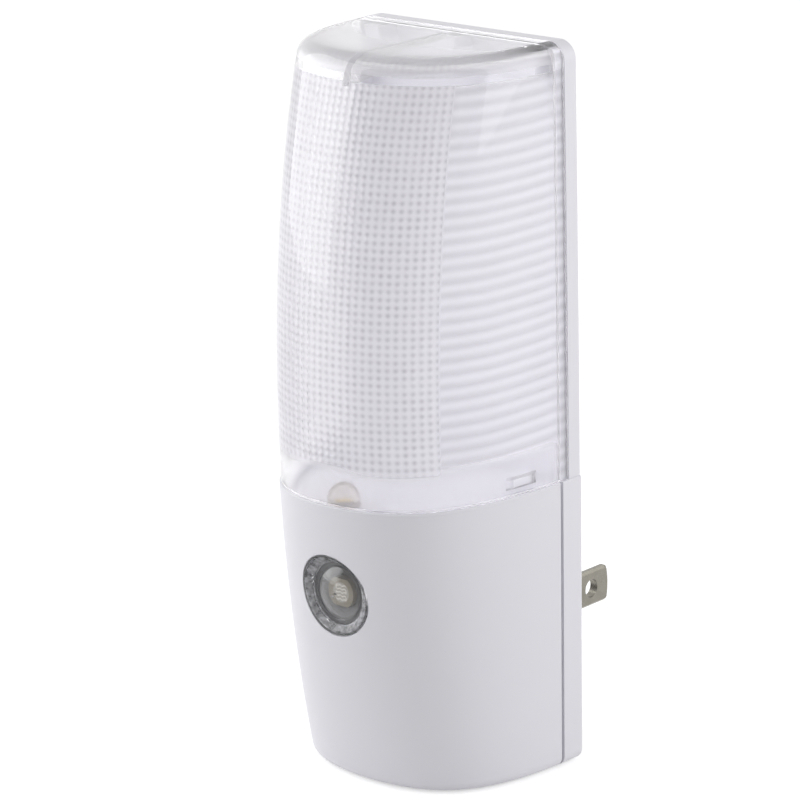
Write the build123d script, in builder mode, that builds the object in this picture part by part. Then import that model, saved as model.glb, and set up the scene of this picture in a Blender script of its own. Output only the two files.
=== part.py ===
from build123d import *
import os
from math import asin, cos, degrees, radians, sin

# Plug-in night light with a dusk sensor, in millimetres.
# The origin is the centre of the plug's face, where it meets the outlet. +Y points into the
# wall, +Z is up, and the light's front faces -Y. Heights named *_height are measured from the
# foot of the light, and depths named *_depth forward from its back face.

# Driving dimensions
body_height = 120.0
body_width = 44.5
high_width = 44.2
top_width = 43.6
rim_height = 49.0
plug_height = 20.5
standoff = 9.0
seam_depth = 5.0
tray_depth = 3.3
foot_front_depth = 30.0
low_front_depth = 35.1
rim_front_depth = 37.8
high_front_depth = 37.3
top_front_depth = 30.0
side_fullness = 0.684
shoulder_x = 0.773
shoulder_y = 1.4155
front_fullness = 0.668
housing_wall = 2.0
lens_wall = 1.8
lens_gap = 0.1
upper_step = 0.25
rim_edge_bevel = 0.2
top_edge_radius = 3.0
foot_edge_radius = 1.8
seam_gap = 0.65
lip_inset = 1.0
lip_gap = 0.15
lip_reach = 1.6
back_edge_radius = 0.8
ledge_width = 1.6
ledge_low_height = 45.3
ledge_back_gap = 2.0
part_gap = 0.3
root_overlap = 0.5
tab_places = (-16.0, 0.0, 16.0)
tab_half_width = 1.6
tab_reach = 3.2
tab_heights = (114.0, 117.6)
top_rib_half_width = 0.5
top_rib_back_drop = 0.9
top_rib_front_drop = 3.4
top_rib_front_depth = 31.2
plate_recess_half_width = 13.0
plate_recess_heights = (60.0, 104.0)
plate_recess_depth = 0.3

# Levels that follow from them
back_y = -standoff
plate_y = back_y - housing_wall
tray_y = back_y - tray_depth
seam_y = back_y - seam_depth
bottom_z = -plug_height
rim_z = bottom_z + rim_height
top_z = bottom_z + body_height
far = 100.0
across = (-far, far)

# Plug
boss_radius = 12.5
boss_edge_radius = 0.8
neck_clearance = 0.08
flange_radius = 14.2
flange_thickness = 2.0
lug_radius = 15.8
lug_half_angle = 8.5
lug_rest_angle = 105.0
turn_range = 90.0
stop_half_angle = 3.5
stop_clearance_angle = 1.4
stop_gap = 0.4
stop_top_gap = 0.1
blade_length = 16.8
blade_tip_bulge = 0.4
blade_width = 6.3
blade_thickness = 1.5
blade_spacing = 12.7
blade_hole_radius = 1.6
blade_hole_reach = 12.0
blade_corner_radius = 0.8
blade_tip_bevel = 0.4
contact_thickness = 0.6
contact_tab_width = 4.6
ring_tab_middle = 7.4
ring_tab_length = 3.6
centre_tab_reach = 7.2
ring_inner_radius = 8.6
ring_outer_radius = 11.0
centre_contact_radius = 3.0
retainer_inner_radius = 11.8
retainer_outer_radius = 16.2
retainer_thickness = 1.5
retainer_screw_radius = 17.2
retainer_screw_angles = (60.0, 240.0)
retainer_ear_radius = 2.6
rivet_x = 13.6
rivet_radius = 0.65
rivet_hole_radius = 0.7
rivet_head_radius = 1.3
rivet_head_height = 0.5
rivet_length = 1.3
rivet_hole_depth = 1.1
leaf_thickness = 0.35
leaf_width = 3.2
leaf_gap = 0.15
leaf_tip_lift = 0.4
leaf_pad_x = (11.6, 16.9)
ring_leaf_x = (10.2, 9.4, 8.6)
centre_leaf_x = (1.4, -0.2, -1.4)
wire_radius = 0.7
wire_bend = 1.6
wire_pad_x = 15.9
wire_board_x = 13.4
wire_board_z = 3.0
wire_run = 3.5

flange_y = plate_y - part_gap
flange_face_y = flange_y - flange_thickness
contact_face_y = flange_face_y - contact_thickness
retainer_y = flange_face_y - part_gap
retainer_face_y = retainer_y - retainer_thickness
stop_offset = lug_half_angle + stop_clearance_angle + stop_half_angle
stop_angles = (lug_rest_angle - stop_offset, lug_rest_angle + turn_range + stop_offset)

# Screws
housing_screw_x = 16.0
housing_screw_heights = (7.0, 42.0)
housing_screw_shank = 1.2
housing_screw_length = 14.0
housing_pilot_depth = 13.5
housing_head_radius = 2.8
housing_head_height = 1.9
housing_head_edge = 0.5
housing_recess = (0.9, 3.0)
screw_clearance = 0.05
screw_hole_radius = 1.6
counterbore_radius = 3.1
counterbore_depth = 2.6
rear_boss_radius = 3.8
front_boss_radius = 2.9
retainer_post_radius = 2.1
retainer_screw_shank = 0.9
retainer_screw_length = 4.8
retainer_head_radius = 1.9
retainer_head_height = 1.3
retainer_recess = (0.7, 2.0)
retainer_pilot_skin = 0.6
board_post_radius = 2.3

# Circuit board
board_rear_y = back_y - 20.0
board_thickness = 1.6
board_front_y = board_rear_y - board_thickness
board_half_width = 15.0
board_low_height = 5.5
board_high_height = 44.0
board_screw_places = ((-11.5, 34.0), (9.5, 8.5))
board_screw_shank = 0.9
board_screw_reach = 4.5
board_pilot_depth = 5.5
board_head_radius = 1.8
board_head_height = 1.2
board_recess = (0.6, 1.8)
corner_bite_gap = 0.5
lead_radius = 0.3
lead_bend = 0.7
lead_hole_radius = 0.42
lead_tail = 1.0

# Sensor, lamp and deck
sensor_height = 33.4
window_hole_radius = 7.0
window_radius = 6.85
window_mouth_radius = 6.6
window_flat_radius = 5.2
window_dome_radius = 4.5
window_flange_radius = 7.9
window_rear_radius = 5.8
window_bore_radius = 4.1
window_opening_depth = 30.0
window_rim_depth = 37.5
window_mouth_depth = 35.9
window_apex_depth = 36.1
window_flat_depth = 34.9
window_flange_depths = (31.9, 32.9)
window_rear_depth = 34.1
window_bore_apex_depth = 35.1
sensor_radius = 2.55
sensor_flat_width = 4.4
sensor_face_depth = 33.9
sensor_thickness = 2.1
sensor_lead_x = 1.7
shroud_outer_radius = 5.5
shroud_inner_radius = 4.4
shroud_depth = 34.0
seat_radius = 4.35
seat_hole_radius = 2.65
seat_back_depth = 32.2
seat_low_depth = 33.2
seat_high_depth = 33.95
deck_low_height = 46.5
deck_high_height = 48.0
deck_inset = 2.3
deck_notch_x = 17.2
lamp_depth = 32.5
lamp_radius = 2.5
lamp_flange_radius = 2.9
lamp_flange_height = 1.0
lamp_hole_radius = 2.75
lamp_notch_height = 45.0
lamp_top_height = 51.7
lamp_base_height = 44.6
lamp_lead_x = 1.27
lamp_lead_height = 42.6
lamp_lead_bend = 1.0

# Components on the board: places as (x, height above the foot)
film_place = (-5.5, 26.0)
film_size = (13.0, 6.0, 11.0)
film_edge_radius = 0.8
film_lead_x = 5.0
smoother_place = (7.5, 26.0)
smoother_radius = 4.0
smoother_length = 11.0
smoother_edge_radius = 0.5
smoother_lead_x = 1.25
transistor_place = (7.5, 33.5)
transistor_radius = 2.3
transistor_length = 4.6
transistor_lift = 1.5
transistor_flat_offset = 3.5
lead_pitch = 1.27
fuse_sizes = (-6.8, 39.2, 8.0, 1.4, 11.0)
bleed_sizes = (-6.5, 19.8, 6.3, 1.2, 9.0)
zener_sizes = (7.2, 39.5, 3.8, 0.95, 6.4)
diode_places = (-11.0, -7.8, -4.6, -1.4)
diode_sizes = (12.3, 5.0, 1.3, 8.0)
resistor_x = 6.4
resistor_heights = (13.6, 16.4, 19.2)
resistor_sizes = (3.6, 0.9, 6.4)

# Snap joints between the front housing and the lens
snap_depths = (-15.2, -11.0)
snap_reach = 3.1
snap_root = 5.0
snap_thickness = 1.3
snap_rim_gap = 0.4
catch_reach = 0.5
catch_heights = (1.3, 2.5)

# Places drilled in the circuit board for component leads, filled in as components are made
board_holes = []


def facing_front(y):
    # Sketch plane at depth y that faces the front: its x is X and its y is Z.
    return Plane.XZ.offset(-y)


def height(above_foot):
    return bottom_z + above_foot


def polar(radius, angle):
    return (radius * cos(radians(angle)), radius * sin(radians(angle)))


def block(x_range, y_range, z_range, mode=Mode.ADD):
    ranges = (x_range, y_range, z_range)
    centre = tuple((low + high) / 2 for low, high in ranges)
    with Locations(centre):
        Box(*[high - low for low, high in ranges], mode=mode)


def front_controls(width, depth):
    # Control points of one Bezier curve from a back corner round the front to the other:
    # it leaves both corners square to the wall and is widest and fullest at its shoulders.
    shares = (
        (1, 0),
        (1, side_fullness),
        (shoulder_x, shoulder_y),
        (0, front_fullness),
        (-shoulder_x, shoulder_y),
        (-1, side_fullness),
        (-1, 0),
    )
    return [(x * width / 2, back_y - y * depth) for x, y in shares]


def body_shape(inset, rounded=False):
    # The light's D-shaped form, made smaller all round the front by the inset. A rounded form
    # has its outer edges eased, and any other is also made lower at the top and the foot.
    sections = (
        (0.0, body_width, foot_front_depth),
        (rim_height / 2, body_width, low_front_depth),
        (rim_height, body_width, rim_front_depth),
        ((rim_height + body_height) / 2, high_width, high_front_depth),
        (body_height, top_width, top_front_depth),
    )
    with BuildPart() as shape:
        for above_foot, width, depth in sections:
            with BuildSketch(Plane.XY.offset(height(above_foot))):
                with BuildLine():
                    front = Bezier(*front_controls(width - 2 * inset, depth - inset))
                    Line(front @ 1, front @ 0)
                make_face()
        loft()
        if rounded:
            top_edge = shape.edges().group_by(Axis.Z)[-1].sort_by(Axis.Y)[0]
            fillet(top_edge, top_edge_radius)
            foot_edge = shape.edges().group_by(Axis.Z)[0].sort_by(Axis.Y)[0]
            fillet(foot_edge, foot_edge_radius)
        else:
            block(across, across, (height(inset), top_z - inset), Mode.INTERSECT)
    return shape.part


def wall_between(outer, inner, y_range, z_range):
    # The part of the wall between two forms that lies in the given depths and heights.
    with BuildPart() as wall:
        add(outer)
        add(inner, mode=Mode.SUBTRACT)
        block(across, y_range, z_range, Mode.INTERSECT)
    return wall.part


def ring_sector(inner_radius, outer_radius, middle_angle, half_angle):
    # Face of a sector of a ring round the plug's axis.
    start = middle_angle - half_angle
    end = middle_angle + half_angle
    with BuildSketch() as sector:
        with BuildLine():
            Line(polar(inner_radius, start), polar(outer_radius, start))
            CenterArc((0, 0), outer_radius, start, 2 * half_angle)
            Line(polar(outer_radius, end), polar(inner_radius, end))
            CenterArc((0, 0), inner_radius, start, 2 * half_angle)
        make_face()
    return sector.sketch


def discs(spots, radius, y, length, mode=Mode.ADD):
    # Cylinders along Y at the given (x, z) spots, from depth y towards the front, or
    # towards the back where the length is negative.
    with Locations(*[(x, y - length / 2, z) for x, z in spots]):
        Cylinder(radius, abs(length), rotation=(90, 0, 0), mode=mode)


def cross_recesses(spots, head_top_y, into_head, width):
    # Cross-shaped driver recesses cut into screw heads from their tops; into_head is
    # positive where the head faces the back.
    with Locations(*[(x, head_top_y - into_head / 2, z) for x, z in spots]):
        Box(width, abs(into_head), width / 4, mode=Mode.SUBTRACT)
        Box(width / 4, abs(into_head), width, mode=Mode.SUBTRACT)


def round_wire(points, radius, bend):
    # Round wire swept along straight runs joined by arcs.
    with BuildPart() as wire:
        with BuildLine() as route:
            FilletPolyline(*points, radius=bend)
        with BuildSketch(Plane(origin=route.wire() @ 0, z_dir=route.wire() % 0)):
            Circle(radius)
        sweep()
    return wire.part


def axial_part(x, above_foot, body_length, body_radius, span, along=(1, 0, 0)):
    # A component that lies on the board's rear face between two bent leads.
    place = Plane(origin=(x, board_rear_y, height(above_foot)), x_dir=along, z_dir=(0, 1, 0))
    lift = body_radius + part_gap
    corners = (
        (-span / 2, 0, -board_thickness - lead_tail),
        (-span / 2, 0, lift),
        (span / 2, 0, lift),
        (span / 2, 0, -board_thickness - lead_tail),
    )
    lead = round_wire([place.from_local_coords(corner) for corner in corners], lead_radius, lead_bend)
    for end in (-span / 2, span / 2):
        foot = place.from_local_coords((end, 0, 0))
        board_holes.append((foot.X, foot.Z))
    with BuildPart() as component:
        with BuildSketch(Plane(origin=place.from_local_coords((0, 0, lift)), z_dir=along)):
            Circle(body_radius)
        extrude(amount=body_length / 2, both=True)
        fillet(component.edges(), body_radius / 4)
        add(lead)
    return component.part


def straight_leads(spots, start_y):
    # Straight leads from depth start_y through the board, drilled for each of them.
    board_holes.extend(spots)
    end_y = board_front_y - lead_tail
    discs(spots, lead_radius, start_y, start_y - end_y)


def cap_arc(apex_depth, edge_depth, edge_radius):
    # Arc of a spherical cap, from its apex on the axis to its edge.
    rise = apex_depth - edge_depth
    radius = (edge_radius**2 + rise**2) / (2 * rise)
    centre = (0, back_y - apex_depth + radius)
    return CenterArc(centre, radius, -90, degrees(asin(edge_radius / radius)))


def finish(piece, name):
    piece.part.label = name
    export_step(piece.part, f"parts/{name}.step")


os.makedirs("parts", exist_ok=True)

outer_form = body_shape(0, rounded=True)
upper_form = body_shape(upper_step, rounded=True)
relief_form = body_shape(lip_inset)
lip_form = body_shape(lip_inset + lip_gap)
housing_cavity = body_shape(housing_wall)
lens_cavity = body_shape(lens_wall)
deck_form = body_shape(deck_inset)
ledge_form = body_shape(housing_wall + ledge_width)
snap_form = body_shape(lens_wall + part_gap)
snap_back_form = body_shape(lens_wall + part_gap + snap_thickness)
catch_form = body_shape(lens_wall - catch_reach)

housing_screw_spots = [
    (side * housing_screw_x, height(above_foot))
    for side in (-1, 1)
    for above_foot in housing_screw_heights
]
retainer_screw_spots = [polar(retainer_screw_radius, angle) for angle in retainer_screw_angles]
board_screw_spots = [(x, height(above_foot)) for x, above_foot in board_screw_places]
rivet_spots = [(-rivet_x, 0.0), (rivet_x, 0.0)]
snap_y_range = (back_y + snap_depths[0], back_y + snap_depths[1])
sensor_z = height(sensor_height)
lamp_y = back_y - lamp_depth


# Rear cover: a cup below the rim and a shallow tray behind the lens above it
with BuildPart() as rear_hollow:
    add(housing_cavity)
    block(across, (-far, plate_y), across, Mode.INTERSECT)

housing_lip = wall_between(
    lip_form, housing_cavity, (seam_y - lip_reach, seam_y + 1.0), (bottom_z, rim_z)
)
lens_lip = wall_between(
    lip_form, housing_cavity, (tray_y - lip_reach, tray_y + 1.0), (rim_z - 1.0, top_z)
)

with BuildPart() as upper_plate:
    add(upper_form)
    block(across, (tray_y, far), (rim_z, far), Mode.INTERSECT)

with BuildPart() as rear_cover:
    add(outer_form)
    block(across, (seam_y, far), (-far, rim_z), Mode.INTERSECT)
    add(upper_plate.part)
    fillet(rear_cover.edges().group_by(Axis.Y)[-1], back_edge_radius)
    add(rear_hollow.part, mode=Mode.SUBTRACT)
    add(housing_lip)
    add(lens_lip)
    # Bosses for the housing screws, each counterbored from the back
    boss_root_y = plate_y + root_overlap
    discs(housing_screw_spots, rear_boss_radius, boss_root_y, boss_root_y - seam_y)
    discs(housing_screw_spots, screw_hole_radius, back_y + 1, standoff + far, Mode.SUBTRACT)
    discs(housing_screw_spots, counterbore_radius, back_y + 1, counterbore_depth + 1, Mode.SUBTRACT)
    # Posts that carry the plug retainer
    discs(retainer_screw_spots, retainer_post_radius, boss_root_y, boss_root_y - retainer_y)
    discs(
        retainer_screw_spots,
        retainer_screw_shank + screw_clearance,
        back_y - retainer_pilot_skin,
        far,
        Mode.SUBTRACT,
    )
    # Stops that end the plug's turn
    for stop_angle in stop_angles:
        stop = ring_sector(
            flange_radius + stop_gap, retainer_outer_radius, stop_angle, stop_half_angle
        )
        with BuildSketch(facing_front(boss_root_y)):
            add(stop)
        extrude(amount=boss_root_y - retainer_y - stop_top_gap)
    # Hole in which the plug base turns
    discs([(0, 0)], boss_radius + neck_clearance, back_y + 1, standoff, Mode.SUBTRACT)
    # Tabs behind the lens's top
    for tab_x in tab_places:
        block(
            (tab_x - tab_half_width, tab_x + tab_half_width),
            (tray_y - tab_reach, boss_root_y),
            [height(level) for level in tab_heights],
        )
    # Shallow bare recess where a rating plate would go
    block(
        (-plate_recess_half_width, plate_recess_half_width),
        (back_y - plate_recess_depth, far),
        [height(level) for level in plate_recess_heights],
        Mode.SUBTRACT,
    )
finish(rear_cover, "rear_cover")


# Front housing: the D-shaped lower shell with the sensor opening
ledge = wall_between(
    relief_form,
    ledge_form,
    (-far, seam_y - ledge_back_gap),
    (height(ledge_low_height), height(deck_low_height)),
)
snap_tabs = wall_between(
    snap_form, snap_back_form, snap_y_range, (rim_z - snap_root, rim_z + snap_reach)
)
snap_roots = wall_between(
    relief_form, snap_back_form, snap_y_range, (rim_z - snap_root, rim_z - snap_rim_gap)
)
catches = wall_between(
    catch_form, snap_back_form, snap_y_range, (rim_z + catch_heights[0], rim_z + catch_heights[1])
)
with BuildPart() as seam_relief:
    add(relief_form)
    block(across, (seam_y - lip_reach - lip_gap, far), across, Mode.INTERSECT)

housing_pilot_radius = housing_screw_shank + screw_clearance
board_pilot_radius = board_screw_shank + screw_clearance
with BuildPart() as housing_posts:
    discs(housing_screw_spots, front_boss_radius, seam_y - 0.1, far)
    discs(board_screw_spots, board_post_radius, board_front_y, far)
    add(relief_form, mode=Mode.INTERSECT)
    discs(housing_screw_spots, housing_pilot_radius, seam_y, housing_pilot_depth, Mode.SUBTRACT)
    discs(
        board_screw_spots, board_pilot_radius, board_front_y, board_pilot_depth, Mode.SUBTRACT
    )

lamp_notch = lamp_flange_radius + part_gap
with BuildPart() as front_housing:
    add(outer_form)
    block(across, (-far, seam_y - seam_gap), (-far, rim_z), Mode.INTERSECT)
    rim_edge = front_housing.edges().group_by(Axis.Z)[-1].sort_by(Axis.Y)[0]
    chamfer(rim_edge, rim_edge_bevel)
    add(housing_cavity, mode=Mode.SUBTRACT)
    add(seam_relief.part, mode=Mode.SUBTRACT)
    add(ledge)
    block(
        (-lamp_notch, lamp_notch),
        (lamp_y - lamp_notch, lamp_y + lamp_notch),
        (height(lamp_notch_height), far),
        Mode.SUBTRACT,
    )
    add(snap_tabs)
    add(snap_roots)
    add(catches)
    add(housing_posts.part)
    opening_y = back_y - window_opening_depth
    discs([(0, sensor_z)], window_hole_radius, opening_y, far, Mode.SUBTRACT)
finish(front_housing, "front_housing")


# Clear lens cover, open towards the back and the foot
with BuildPart() as lens_relief:
    add(relief_form)
    block(across, (tray_y - lip_reach - lip_gap, far), across, Mode.INTERSECT)
catch_pockets = wall_between(
    relief_form,
    ledge_form,
    (snap_y_range[0] - part_gap, snap_y_range[1] + part_gap),
    (rim_z + catch_heights[0] - part_gap, rim_z + catch_heights[1] + part_gap),
)

# Rib under the lens's top, from its back to the front wall, and deeper toward that wall
top_rib_back_y = tray_y - tab_reach - part_gap
top_rib_front_y = back_y - top_rib_front_depth
ceiling_z = top_z - lens_wall
with BuildPart() as top_rib:
    with BuildSketch(Plane.YZ):
        with BuildLine():
            Polyline(
                (top_rib_front_y, top_z),
                (top_rib_front_y, ceiling_z - top_rib_front_drop),
                (top_rib_back_y, ceiling_z - top_rib_back_drop),
                (top_rib_back_y, top_z),
                close=True,
            )
        make_face()
    extrude(amount=top_rib_half_width, both=True)
    add(lens_cavity, mode=Mode.INTERSECT)

with BuildPart() as lens_cover:
    add(upper_form)
    block(across, (-far, tray_y - lip_gap), (rim_z + lens_gap, far), Mode.INTERSECT)
    add(lens_cavity, mode=Mode.SUBTRACT)
    add(lens_relief.part, mode=Mode.SUBTRACT)
    add(catch_pockets, mode=Mode.SUBTRACT)
    add(top_rib.part)
finish(lens_cover, "lens_cover")


# White deck under the lens, with the hole through which the lamp stands
with BuildPart() as light_deck:
    add(deck_form)
    block(
        across,
        (-far, plate_y - part_gap),
        (height(deck_low_height), height(deck_high_height)),
        Mode.INTERSECT,
    )
    with BuildSketch(Plane.XY.offset(height(deck_low_height))):
        with Locations((0, lamp_y)):
            Circle(lamp_hole_radius)
    extrude(amount=far, mode=Mode.SUBTRACT)
    for side in (-1, 1):
        near, outward = sorted((side * deck_notch_x, side * far))
        block(
            (near, outward),
            (snap_y_range[0] - part_gap, snap_y_range[1] + part_gap),
            across,
            Mode.SUBTRACT,
        )
finish(light_deck, "light_deck")


# Lamp: a round LED standing through the deck, on two bent leads
lamp_axis = Axis((0, lamp_y, 0), (0, 0, 1))
with BuildPart() as led_lamp:
    with BuildSketch(facing_front(lamp_y)):
        with BuildLine():
            dome_z = height(lamp_top_height) - lamp_radius
            base_z = height(lamp_base_height)
            Polyline(
                (0, height(lamp_top_height)),
                (0, base_z),
                (lamp_flange_radius, base_z),
                (lamp_flange_radius, base_z + lamp_flange_height),
                (lamp_radius, base_z + lamp_flange_height),
                (lamp_radius, dome_z),
            )
            CenterArc((0, dome_z), lamp_radius, 0, 90)
        make_face()
    revolve(axis=lamp_axis)
finish(led_lamp, "led_lamp")

lamp_lead_wires = []
for side in (-1, 1):
    lead_x = side * lamp_lead_x
    lead_z = height(lamp_lead_height)
    lamp_lead_wires.append(
        round_wire(
            [
                (lead_x, lamp_y, height(lamp_base_height)),
                (lead_x, lamp_y, lead_z),
                (lead_x, board_rear_y + lead_tail, lead_z),
            ],
            lead_radius,
            lamp_lead_bend,
        )
    )
    board_holes.append((lead_x, lead_z))
with BuildPart() as led_leads:
    add(lamp_lead_wires)
finish(led_leads, "led_leads")


# Dusk sensor: a photocell behind a clear window, in a dark tube
sensor_y = back_y - sensor_face_depth
with BuildPart() as sensor_window:
    with BuildSketch(Plane.XY.offset(sensor_z)):
        with BuildLine():
            inner_flange_y, outer_flange_y = [back_y - depth for depth in window_flange_depths]
            rim_y = back_y - window_rim_depth
            flat_y = back_y - window_flat_depth
            rear_y = back_y - window_rear_depth
            dome = cap_arc(window_apex_depth, window_flat_depth, window_dome_radius)
            bore = cap_arc(window_bore_apex_depth, window_rear_depth, window_bore_radius)
            Polyline(
                dome @ 1,
                (window_flat_radius, flat_y),
                (window_mouth_radius, back_y - window_mouth_depth),
                (window_mouth_radius, rim_y),
                (window_radius, rim_y),
                (window_radius, outer_flange_y),
                (window_flange_radius, outer_flange_y),
                (window_flange_radius, inner_flange_y),
                (window_rear_radius, inner_flange_y),
                (window_rear_radius, rear_y),
                bore @ 1,
            )
            Line(bore @ 0, dome @ 0)
        make_face()
    revolve(axis=Axis((0, 0, sensor_z), (0, 1, 0)))
    add(outer_form, mode=Mode.INTERSECT)
finish(sensor_window, "sensor_window")

with BuildPart() as light_sensor:
    with BuildSketch(facing_front(sensor_y)):
        with Locations((0, sensor_z)):
            Circle(sensor_radius)
            Rectangle(far, sensor_flat_width, mode=Mode.INTERSECT)
    extrude(amount=-sensor_thickness)
finish(light_sensor, "light_sensor")

sensor_lead_spots = [(-sensor_lead_x, sensor_z), (sensor_lead_x, sensor_z)]
board_holes.extend(sensor_lead_spots)
with BuildPart() as sensor_leads:
    sensor_lead_start = board_rear_y + lead_tail
    discs(
        sensor_lead_spots,
        lead_radius,
        sensor_lead_start,
        sensor_lead_start - sensor_y - sensor_thickness,
    )
finish(sensor_leads, "sensor_leads")

with BuildPart() as sensor_shroud:
    shroud_length = board_front_y - back_y + shroud_depth
    discs([(0, sensor_z)], shroud_outer_radius, board_front_y, shroud_length)
    discs([(0, sensor_z)], shroud_inner_radius, board_front_y, shroud_length, Mode.SUBTRACT)
finish(sensor_shroud, "sensor_shroud")

with BuildPart() as sensor_seat:
    # Dished ring that holds the photocell in the mouth of the tube
    with BuildSketch(Plane.XY.offset(sensor_z)):
        with BuildLine():
            Polyline(
                (seat_hole_radius, back_y - seat_back_depth),
                (seat_hole_radius, back_y - seat_low_depth),
                (seat_radius, back_y - seat_high_depth),
                (seat_radius, back_y - seat_back_depth),
                close=True,
            )
        make_face()
    revolve(axis=Axis((0, 0, sensor_z), (0, 1, 0)))
finish(sensor_seat, "sensor_seat")


# Supply and switching components on the board's rear face
with BuildPart() as film_capacitor:
    film_width, film_height, film_length = film_size
    film_x, film_z = film_place[0], height(film_place[1])
    with BuildSketch(facing_front(board_rear_y)):
        with Locations((film_x, film_z)):
            RectangleRounded(film_width, film_height, film_edge_radius)
    extrude(amount=-film_length)
    film_leads = [(film_x - film_lead_x, film_z), (film_x + film_lead_x, film_z)]
    straight_leads(film_leads, board_rear_y)
finish(film_capacitor, "film_capacitor")

with BuildPart() as smoothing_capacitor:
    smoother_x, smoother_z = smoother_place[0], height(smoother_place[1])
    discs([(smoother_x, smoother_z)], smoother_radius, board_rear_y, -smoother_length)
    fillet(smoothing_capacitor.edges(), smoother_edge_radius)
    smoother_leads = [
        (smoother_x - smoother_lead_x, smoother_z),
        (smoother_x + smoother_lead_x, smoother_z),
    ]
    straight_leads(smoother_leads, board_rear_y)
finish(smoothing_capacitor, "smoothing_capacitor")

with BuildPart() as transistor:
    case_x, case_z = transistor_place[0], height(transistor_place[1])
    case_y = board_rear_y + transistor_lift
    with BuildSketch(facing_front(case_y)):
        with Locations((case_x, case_z)):
            Circle(transistor_radius)
        with Locations((case_x, case_z - transistor_flat_offset)):
            Rectangle(far, 2 * transistor_radius, mode=Mode.SUBTRACT)
    extrude(amount=-transistor_length)
    straight_leads([(case_x + step * lead_pitch, case_z) for step in (-1, 0, 1)], case_y)
finish(transistor, "transistor")

fuse = axial_part(*fuse_sizes)
with BuildPart() as fuse_resistor:
    add(fuse)
finish(fuse_resistor, "fuse_resistor")

bleed = axial_part(*bleed_sizes)
with BuildPart() as bleed_resistor:
    add(bleed)
finish(bleed_resistor, "bleed_resistor")

zener = axial_part(*zener_sizes)
with BuildPart() as zener_diode:
    add(zener)
finish(zener_diode, "zener_diode")

upright = (0, 0, 1)
diodes = [axial_part(x, *diode_sizes, upright) for x in diode_places]
with BuildPart() as rectifier_diodes:
    add(diodes)
finish(rectifier_diodes, "rectifier_diodes")

resistors = [axial_part(resistor_x, above, *resistor_sizes) for above in resistor_heights]
with BuildPart() as control_resistors:
    add(resistors)
finish(control_resistors, "control_resistors")


# Circuit board, bitten out at its corners to clear the housing screw bosses
with BuildPart() as circuit_board:
    with BuildSketch(facing_front(board_rear_y)):
        with Locations((0, height((board_low_height + board_high_height) / 2))):
            Rectangle(2 * board_half_width, board_high_height - board_low_height)
        with Locations(*housing_screw_spots):
            Circle(front_boss_radius + corner_bite_gap, mode=Mode.SUBTRACT)
        with Locations(*board_screw_spots):
            Circle(board_screw_shank + 2 * screw_clearance, mode=Mode.SUBTRACT)
        with Locations(*board_holes):
            Circle(lead_hole_radius, mode=Mode.SUBTRACT)
    extrude(amount=board_thickness)
finish(circuit_board, "circuit_board")

with BuildPart() as board_screws:
    head_top_y = board_rear_y + board_head_height
    screw_length = board_thickness + board_screw_reach
    recess_depth, recess_width = board_recess
    discs(board_screw_spots, board_screw_shank, board_rear_y, screw_length)
    discs(board_screw_spots, board_head_radius, board_rear_y, -board_head_height)
    cross_recesses(board_screw_spots, head_top_y, recess_depth, recess_width)
finish(board_screws, "board_screws")

with BuildPart() as housing_screws:
    head_y = back_y - counterbore_depth
    head_top_y = head_y + housing_head_height
    recess_depth, recess_width = housing_recess
    discs(housing_screw_spots, housing_screw_shank, head_y, housing_screw_length)
    discs(housing_screw_spots, housing_head_radius, head_y, -housing_head_height)
    fillet(housing_screws.edges().group_by(Axis.Y)[-1], housing_head_edge)
    cross_recesses(housing_screw_spots, head_top_y, recess_depth, recess_width)
finish(housing_screws, "housing_screws")


# Plug base: a round boss, a neck that turns in the rear cover, and a flange with a stop lug
blade_spots = [(-blade_spacing / 2, 0.0), (blade_spacing / 2, 0.0)]
with BuildPart() as plug_base:
    discs([(0, 0)], boss_radius, 0, -flange_y)
    fillet(plug_base.edges().group_by(Axis.Y)[-1], boss_edge_radius)
    with BuildSketch(facing_front(flange_y)):
        Circle(flange_radius)
        add(ring_sector(boss_radius, lug_radius, lug_rest_angle, lug_half_angle))
    extrude(amount=flange_thickness)
    with BuildSketch(facing_front(standoff)):
        with Locations(*blade_spots):
            Rectangle(blade_thickness, blade_width)
    extrude(amount=far, mode=Mode.SUBTRACT)
finish(plug_base, "plug_base")


def plug_blade(x, name):
    # Flat blade with a hole and an eased, slightly bowed tip; its tail ends at the flange's
    # inner face.
    half_width = blade_width / 2
    arc_end_y = blade_length - blade_tip_bulge
    with BuildPart() as blade:
        with BuildSketch(Plane.YZ.offset(x - blade_thickness / 2)):
            with BuildLine():
                ThreePointArc((arc_end_y, -half_width), (blade_length, 0), (arc_end_y, half_width))
                Polyline(
                    (arc_end_y, half_width),
                    (flange_face_y, half_width),
                    (flange_face_y, -half_width),
                    (arc_end_y, -half_width),
                )
            make_face()
        extrude(amount=blade_thickness)
        fillet(blade.edges().filter_by(Axis.X).group_by(Axis.Y)[-1], blade_corner_radius)
        chamfer(blade.edges().filter_by(GeomType.CIRCLE), blade_tip_bevel)
        with BuildSketch(Plane.YZ.offset(x - blade_thickness)):
            with Locations((blade_hole_reach, 0)):
                Circle(blade_hole_radius)
        extrude(amount=2 * blade_thickness, mode=Mode.SUBTRACT)
    finish(blade, name)


plug_blade(-blade_spacing / 2, "plug_blade_left")
plug_blade(blade_spacing / 2, "plug_blade_right")


# Contacts on the flange's inner face: a ring on the left blade, a centre disc on the right
with BuildPart() as ring_contact:
    with BuildSketch(facing_front(flange_face_y)):
        Circle(ring_outer_radius)
        Circle(ring_inner_radius, mode=Mode.SUBTRACT)
        with Locations((-ring_tab_middle, 0)):
            Rectangle(ring_tab_length, contact_tab_width)
    extrude(amount=contact_thickness)
finish(ring_contact, "ring_contact")

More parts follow.
